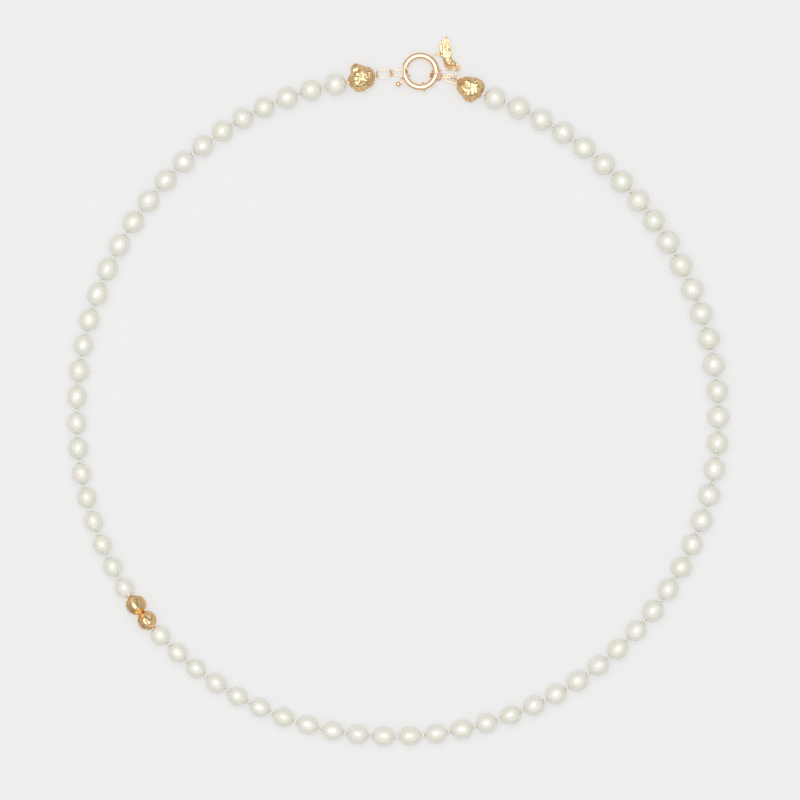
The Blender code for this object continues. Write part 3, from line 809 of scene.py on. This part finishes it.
def wire_link(node, name, body, wire=WIRE):
    """A fine ring or oval link in place of a node, its middle line where the node has it."""
    found = Measured(node)
    bend = found.size[1] / 2 - WIRE
    pull = (found.size[0] - found.size[1]) / 2
    start()
    bpy.ops.mesh.primitive_torus_add(
        major_radius=bend, minor_radius=wire, major_segments=RING_SIDES, minor_segments=WIRE_SIDES
    )
    piece = bpy.context.object
    piece.data.transform(Matrix.Rotation(math.pi / RING_SIDES, 4, "Z"))
    edit()
    if pull > 0.05 * MM:
        pick("verts", lambda v: v.co.x > 0)
        bpy.ops.transform.translate(value=(pull, 0, 0))
        pick("verts", lambda v: v.co.x < 0)
        bpy.ops.transform.translate(value=(-pull, 0, 0))
    seam = math.pi / 2 + math.pi / RING_SIDES

    def at_seam(vert):
        """Whether a corner is on the ring of edges where the wire's ends meet."""
        return abs(math.atan2(vert.co.y, vert.co.x - pull) - seam) < 0.01

    pick("edges", lambda e: all(at_seam(v) for v in e.verts))
    bpy.ops.mesh.bevel(offset=SEAM_BEVEL, segments=2, profile=0.2, affect="EDGES")
    done()
    piece.data.transform(found.place)
    smooth(piece, 50)
    return finish(name, piece, POLISHED, body, node)


for node in ("left_inner_link", "left_outer_link", "right_inner_link", "right_outer_link"):
    wire_link(node, f"oval_{node}", node)
wire_link("clasp_connector", "connector_ring", "clasp_connector", CONNECTOR_WIRE)
wire_link("charm_ring", "charm_jump_ring", "charm_ring")
print("wire's thickness, in mm:", round(2 * WIRE / MM, 2))

# %% [markdown]
# The eye pins are short wires that curl into an eye. Their solids have the right bend, so a copy of
# each is merged and rounded by a subdivision surface, which turns six flat sides into a round wire.
# The spring's solid is fine enough as it is, and only takes its steel.

# %% Round the eye pins and finish the spring
PIN_FATTEN = 0.02 * MM  # makes up for what rounding takes off the wire


def rounded_copy(node, name, body):
    """A node's own shape with its flats rounded, kept as thick as it was."""
    piece = placed(name, frame["nodes"][node].data.copy())
    outward(piece)
    applied(piece, "SUBSURF", levels=2, render_levels=2)
    applied(piece, "DISPLACE", strength=PIN_FATTEN, mid_level=0.0)
    smooth(piece, 60)
    return finish(name, piece, POLISHED, body, node)


for side in ("left", "right"):
    piece = rounded_copy(f"{side}_eye_pin", f"{side}_wire_eye", f"{side}_nugget")
    print(piece.name, "faces:", len(piece.data.polygons))
spring = frame["nodes"]["clasp_spring"]
spring.data.materials.clear()
spring.data.materials.append(STEEL)

# %% [markdown]
# ## The clasp
# The spring ring is a hollow tube bent in a circle with a gate in it. A bolt slides in the tube and
# closes the gate, pushed by the spring, and a ball on a stem comes out of a slot for the thumb. The
# tube is a circle spun about the clasp's middle, hollowed with Solidify and slotted with a Boolean.

# %% Measure the clasp
TRIGGER = next(joint for joint in frame["joints"] if joint["child"] == "clasp_trigger")
CLASP = Vector(TRIGGER["pos_m"])
low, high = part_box("clasp_tube")
TUBE = (high.z - low.z) / 2
RING = (high.y - low.y) / 2 - TUBE


def turn_range(node):
    """The first and last angle about the clasp's middle that a piece covers, from its widest gap on."""
    points = corners(node) - np.array(CLASP)
    turns = np.sort(np.mod(np.arctan2(points[:, 1], points[:, 0]), math.tau))
    gaps = np.diff(np.append(turns, turns[0] + math.tau))
    widest = int(gaps.argmax())
    return turns[(widest + 1) % len(turns)], turns[widest]


MOUTH, TUBE_END = turn_range("clasp_tube")
BOLT_TIP, BOLT_END = turn_range("clasp_bolt")
STEM = math.atan2(*(Measured("clasp_thumb_ball").middle - CLASP).yx)
print("gate from", round(math.degrees(TUBE_END)), "to", round(math.degrees(MOUTH)), "degrees")

# %% Bend the tube
WALL = 0.21 * MM
SLOT_HALF_WIDTH = 0.35 * MM
SLOT_FROM_MOUTH = math.radians(4.5)
SLOT_TO_MOUTH = math.radians(51.5)


def spun(radius, section, first, last, steps, sides=28):
    """A round bar bent about the clasp's middle from one angle to another, with its ends closed."""
    start()
    bpy.ops.mesh.primitive_circle_add(vertices=sides, radius=section, fill_type="NGON")
    piece = bpy.context.object
    stand = Matrix.Rotation(math.pi / 2, 4, "X")
    piece.data.transform(Matrix.Translation((radius, 0, 0)) @ stand)
    edit()
    bpy.ops.mesh.select_all(action="SELECT")
    bpy.ops.mesh.spin(steps=steps, angle=last - first, center=(0, 0, 0), axis=(0, 0, 1))
    bpy.ops.mesh.select_all(action="SELECT")
    bpy.ops.mesh.remove_doubles(threshold=1e-7)
    bpy.ops.mesh.normals_make_consistent(inside=False)
    done()
    turned = coords(piece)
    middle = math.atan2(turned[:, 1].mean(), turned[:, 0].mean())
    piece.data.transform(Matrix.Rotation(first if middle > 0 else last, 4, "Z"))
    return piece


def end_cap(face):
    """Whether a face is one of a bar's flat ends, which have a corner for each side."""
    return len(face.verts) > 4


piece = spun(RING, TUBE, MOUTH, TUBE_END if TUBE_END > MOUTH else TUBE_END + math.tau, 110)
edit()
pick("faces", end_cap)
bpy.ops.mesh.delete(type="ONLY_FACE")
done()
applied(piece, "SOLIDIFY", thickness=WALL, offset=-1, use_rim=True, use_even_offset=True)
tool = spun(RING + TUBE, SLOT_HALF_WIDTH, MOUTH + SLOT_FROM_MOUTH, MOUTH + SLOT_TO_MOUTH, 24, 16)
applied(piece, "BOOLEAN", object=tool, operation="DIFFERENCE", solver="EXACT")
bpy.data.objects.remove(tool)
piece.data.transform(Matrix.Translation(CLASP))
smooth(piece, 40)
finish("spring_ring_tube", piece, POLISHED, "clasp", "clasp_tube")
print("tube's thickness, in mm:", round(2 * TUBE / MM, 2))

# %% [markdown]
# The bolt is a solid bar on the same circle, thin enough to slide in the tube. Its ends are softened,
# and the stem's hole is drilled through it, along a line out from the middle of the ring.

# %% Bend the bolt
BOLT = 0.43 * MM
STEM_HOLE = 0.27 * MM
STEM_HOLE_REACH = 5.2 * MM
BOLT_END_INSET = 0.12 * MM
BOLT_END_BEVEL = 0.07 * MM
OUT = Vector((math.cos(STEM), math.sin(STEM), 0))  # from the clasp's middle towards the thumb ball
piece = spun(RING, BOLT, BOLT_TIP, BOLT_END, 30)
edit()
pick("faces", end_cap)
bpy.ops.mesh.inset(thickness=BOLT_END_INSET)
done()
rims = dict(limit_method="ANGLE", angle_limit=math.radians(50))
applied(piece, "BEVEL", width=BOLT_END_BEVEL, segments=3, **rims)
drill(piece, Vector(), OUT * STEM_HOLE_REACH, STEM_HOLE)
piece.data.transform(Matrix.Translation(CLASP))
smooth(piece, 40)
finish("sliding_bolt", piece, POLISHED, "clasp_trigger", "clasp_bolt")
print("bolt covers, in degrees:", round(math.degrees(BOLT_END - BOLT_TIP)))

# %% [markdown]
# A flange sits at the mouth of the gate, one by the connector, and one at the bottom, where it stops
# the thumb. Each is a short open cylinder that Solidify turns into a flat ring round the tube.

# %% Fit the flanges
FLANGE_FIT = 0.01 * MM
FLANGE_EXTRA = 0.04 * MM
FLANGE_BEVEL = 0.06 * MM


def collar(node):
    """A flat flange that fits round the tube, with softened edges."""
    found = Measured(node)
    outer, inner = found.size[0] / 2 + FLANGE_EXTRA, TUBE + FLANGE_FIT
    start()
    bpy.ops.mesh.primitive_cylinder_add(
        vertices=56, radius=outer, depth=found.size[2], end_fill_type="NOTHING"
    )
    piece = bpy.context.object
    outward(piece)
    applied(piece, "SOLIDIFY", thickness=outer - inner, offset=-1)
    rims = dict(limit_method="ANGLE", angle_limit=math.radians(60))
    applied(piece, "BEVEL", width=FLANGE_BEVEL, segments=2, **rims)
    piece.data.transform(found.place)
    smooth(piece, 40)
    return finish(node.replace("clasp_", "") + "_flange", piece, POLISHED, "clasp", node)


for node in ("clasp_mouth_collar", "clasp_top_collar", "clasp_stop_collar"):
    print("fitted:", collar(node).name)

# %% [markdown]
# The thumb ball and its stem are turned in one piece. The ball is a sphere whose lower cap is drawn
# out into the stem.

# %% Turn the thumb ball
NECK = 0.2 * MM
STEM_PAST_MIDDLE = 0.15 * MM  # how far the stem goes past the bolt's middle line
low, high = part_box("clasp_thumb_ball")
BALL = (high.z - low.z) / 2
far = max((Vector(p) - CLASP).xy.length for p in corners("clasp_thumb_ball"))
start()
bpy.ops.mesh.primitive_uv_sphere_add(segments=32, ring_count=24, radius=BALL)
piece = bpy.context.object
edit()
pick("faces", lambda f: f.calc_center_median().z < -0.93 * BALL)
for length in (NECK, far - RING - 2 * BALL - NECK + STEM_PAST_MIDDLE):
    bpy.ops.mesh.extrude_region_move(TRANSFORM_OT_translate={"value": (0, 0, -length)})
done()
turn = OUT.to_track_quat("Z", "Y").to_matrix().to_4x4()
piece.data.transform(Matrix.Translation(CLASP + OUT * (far - BALL)) @ turn)
smooth(piece, 40)
finish("thumb_ball_and_stem", piece, POLISHED, "clasp_trigger", "clasp_thumb_ball")
print("thumb ball's thickness, in mm:", round(2 * BALL / MM, 2))

# %% [markdown]
# ## The bird
# The charm is a cast hovering bird: a plump body with chased scales, a long thin bill, two small
# balled feet, raised wings in overlapping grooved blades, and a tail that ends in the ring's loop.
# Each part is modelled on its own, and they are fused by a voxel remesh as a casting is one piece.
# The bird is so small that its places are given in millimetres of the frame.

# %% Helpers for the bird


def at(x, y, z):
    """A point of the bird, in millimetres of the frame."""
    return Vector((x, y, z)) * MM


def ball(x, y, z, radius, stretch=(1, 1, 1), turn=0.0):
    """A sphere pressed into an egg and turned about the upright."""
    start()
    bpy.ops.mesh.primitive_uv_sphere_add(segments=28, ring_count=18, radius=radius * MM)
    piece = bpy.context.object
    turned = Matrix.Rotation(math.radians(turn), 4, "Z") @ Matrix.Diagonal((*stretch, 1))
    piece.data.transform(Matrix.Translation(at(x, y, z)) @ turned)
    return piece


def tapered(points, radii):
    """A bar through points whose thickness changes along it."""
    curve = bpy.data.curves.new("taper", "CURVE")
    curve.dimensions = "3D"
    curve.bevel_depth = MM
    curve.bevel_resolution = 4
    curve.use_fill_caps = True
    curve.resolution_u = 10
    line = curve.splines.new("NURBS")
    line.points.add(len(points) - 1)
    line.use_endpoint_u = True
    line.order_u = 3
    for corner, p, radius in zip(line.points, points, radii):
        corner.co = (*at(*p), 1)
        corner.radius = radius
    choose(placed("taper", curve))
    bpy.ops.object.convert(target="MESH")
    return bpy.context.object


def blade(root, tip, width, z, blunt, grooves=3, thick=0.2):
    """One tier of a wing: a broad leaf from its root to its tip, with shallow grooves along it. Blunt
    is the share of its width that it keeps at the tip."""
    root, tip = Vector((*root, z)), Vector((*tip, z))
    start()
    bpy.ops.mesh.primitive_uv_sphere_add(segments=72, ring_count=40, radius=1)
    piece = bpy.context.object
    x, y, h = coords(piece).T
    run = (h + 1) / 2
    across = x / np.clip(np.sqrt(1 - h * h), 0.05, None)
    wide = width / 2 * (1 - (1 - blunt) * run**2)
    ridges = 0.05 * np.cos(across * math.pi * grooves)
    groove = ridges * np.clip(run * 1.6, 0, 1) * (y > 0)
    scallop = ridges * run
    dome = 0.14 * (1 - across**2) * (y > 0)
    shape = [x * wide, (run + scallop) * (tip - root).length, y * thick + groove + dome]
    along = (tip - root).normalized()
    side = along.cross(UP)
    turn = np.array(Matrix((side, along, UP)).transposed())
    set_coords(piece, (np.column_stack(shape) @ turn.T + np.array(root)) * MM)
    return piece


# %% Join the bird's parts
VOXEL = 0.045 * MM


def bird_parts():
    """The bird's body, feet, bill, tail and wings, each a closed piece that overlaps the next."""
    body = [
        ball(11.85, 77.5, 1.15, 1.12, (1.35, 0.95, 0.85), -42),
        ball(12.8, 76.95, 1.1, 0.78, (1.3, 0.95, 0.95), -38),
        ball(11.45, 76.75, 1.0, 0.62, (1.0, 1.1, 0.9)),
    ]
    head = [
        ball(10.85, 78.55, 1.3, 0.62, (1.15, 0.9, 0.95), -30),
        ball(10.3, 78.75, 1.45, 0.42, (1.3, 0.7, 0.8), -12),
    ]
    feet = [
        ball(11.72, 75.6, 0.7, 0.38),
        ball(12.48, 75.62, 0.7, 0.34),
        tapered([(11.6, 76.6, 0.9), (11.7, 75.9, 0.7)], [0.3, 0.2]),
        tapered([(12.5, 76.6, 0.9), (12.48, 75.9, 0.7)], [0.3, 0.2]),
    ]
    bill_route = [(8.42, 78.62, 1.25), (8.66, 79.15, 1.3), (9.5, 79.3, 1.35), (10.4, 78.75, 1.4)]
    bill = tapered(bill_route, [0.1, 0.16, 0.2, 0.3])
    tail = tapered([(12.6, 77.1, 1.2), (13.2, 76.7, 1.25), (13.45, 76.45, 1.25)], [0.6, 0.42, 0.3])
    wings = [
        blade((10.95, 78.2), (10.1, 82.3), 1.9, 0.95, 0.40),
        blade((11.45, 78.0), (11.32, 83.25), 2.3, 1.3, 0.25, 4),
        blade((11.3, 78.3), (11.15, 80.85), 2.2, 1.6, 0.7, 3, 0.16),
        blade((11.6, 78.0), (11.9, 79.9), 1.7, 1.75, 0.8, 3, 0.14),
    ]
    return [*body, *head, *feet, bill, tail, *wings]


bird = joined(bird_parts())
applied(bird, "REMESH", mode="VOXEL", voxel_size=VOXEL, adaptivity=0)
applied(bird, "SMOOTH", factor=0.5, iterations=6)
print("bird faces:", len(bird.data.polygons))

# %% [markdown]
# The scales are chased into the breast and back as crossed waves that fade out round the body. The
# loop is a small torus whose side next to the tail is drawn into it, so that it isn't a plain ring.

# %% Chase the scales and add the loop
BREAST = at(12.2, 77.3, 1.2)
BREAST_RADIUS = 0.95 * MM
SCALE_WAVES = 7.5 / MM
SCALE_SLANT = 2 / MM
SCALE_HEIGHT = 0.075 * MM
points = coords(bird)
away = points - np.array(BREAST)
near = np.exp(-(np.linalg.norm(away * [1, 1, 0.6], axis=1) / BREAST_RADIUS) ** 4)
x, y, _ = points.T
scales = np.sin(x * SCALE_WAVES + y * SCALE_SLANT) * np.sin(y * SCALE_WAVES - x * SCALE_SLANT)
away /= np.linalg.norm(away, axis=1)[:, None]
set_coords(bird, points + away * (near * scales * SCALE_HEIGHT)[:, None])
settle(bird)
smooth(bird, 60)

LOOP = Vector(next(joint for joint in frame["joints"] if joint["child"] == "charm")["pos_m"])
LOOP_RADIUS = 0.66 * MM
LOOP_WIRE = 0.22 * MM
LOOP_PULL = 0.06 * MM
start()
bpy.ops.mesh.primitive_torus_add(
    major_radius=LOOP_RADIUS, minor_radius=LOOP_WIRE, major_segments=40, minor_segments=16
)
loop = bpy.context.object
loop.data.transform(Matrix.Translation(LOOP))
edit()
pick("verts", lambda v: v.co.x < LOOP.x - 0.3 * MM and v.co.y > LOOP.y)
bpy.ops.transform.translate(value=(-LOOP_PULL, LOOP_PULL, 0))
done()
bird = joined([bird, loop])
finish("cast_bird", bird, BIRD_GOLD, "charm", "charm")
print("bird faces, with its loop:", len(bird.data.polygons))

# %% [markdown]
# ## Table, light and camera
# The necklace lies on a pale table under one broad softbox. The sky is white overhead and dark near the
# horizon, so each pearl shows a soft white spot and a greyer edge, and polished gold has dark lines.

# %% Lay the table
TABLE_DROP = 0.2 * MM  # how far the table lies below height 0


def table_white():
    """A dull white that glows a little, so that shadows stay pale."""
    plain = dict(Roughness=0.9, Specular_IOR_Level=0.0, Base_Color=(0.30, 0.30, 0.30, 1))
    glow = dict(Emission_Color=(1, 1, 1, 1), Emission_Strength=0.525)
    return Recipe("table_white", "table", **plain, **glow).material


start()
bpy.ops.mesh.primitive_plane_add(size=3.0, location=(0, 0, -TABLE_DROP))
table = bpy.context.object
table.name = "table"
table.data.materials.append(table_white())
print("table laid, in metres across:", round(table.dimensions.x, 2))

# %% Hang the lights


def softbox(name, place, size, power):
    """A round area light that looks at the necklace's middle."""
    lamp = bpy.data.lights.new(name, "AREA")
    lamp.shape = "DISK"
    lamp.size = size
    lamp.energy = power
    made = placed(name, lamp)
    made.location = place
    made.rotation_euler = (-Vector(place)).to_track_quat("-Z", "Y").to_euler()
    made.visible_camera = False
    return made


def studio_sky(strength, *stops):
    """A world whose shade follows the height in the sky, from 0 at the horizon to 1 overhead."""
    world = bpy.data.worlds.new("studio")
    world.use_nodes = True
    sky = world.node_tree
    background = sky.nodes["Background"]
    background.inputs["Strength"].default_value = strength
    where = sky.nodes.new("ShaderNodeTexCoord")
    split = sky.nodes.new("ShaderNodeSeparateXYZ")
    ramp = sky.nodes.new("ShaderNodeValToRGB")
    sky.links.new(where.outputs["Generated"], split.inputs["Vector"])
    sky.links.new(split.outputs["Z"], ramp.inputs["Fac"])
    sky.links.new(ramp.outputs["Color"], background.inputs["Color"])
    for element, (height, shade) in zip(ramp.color_ramp.elements, stops):
        element.position = height
        element.color = (*shade, 1)
    return world


lamp = softbox("top_softbox", (-0.12, 0.20, 2.1), 1.8, 22)
bpy.context.scene.world = studio_sky(0.80, (0.08, (0.13, 0.12, 0.11)), (0.60, WHITE))
print("softbox hangs, in metres up:", round(lamp.location.z, 2))

# %% Set the camera
VIEW_WIDTH = 0.1875
VIEW_MIDDLE = (0.00047, -0.00199)
CAMERA_HEIGHT = 1.5
STRAND_HEIGHT = 2.5 * MM
SENSOR_WIDTH = 36
lens = bpy.data.cameras.new("camera")
lens.sensor_width = SENSOR_WIDTH
lens.lens = SENSOR_WIDTH * CAMERA_HEIGHT / VIEW_WIDTH
lens.clip_start = 0.01
camera = placed("camera", lens)
camera.location = (*VIEW_MIDDLE, CAMERA_HEIGHT + STRAND_HEIGHT)
bpy.context.scene.camera = camera
bpy.context.scene.view_settings.view_transform = "Standard"
print("focal length, in mm:", round(lens.lens))
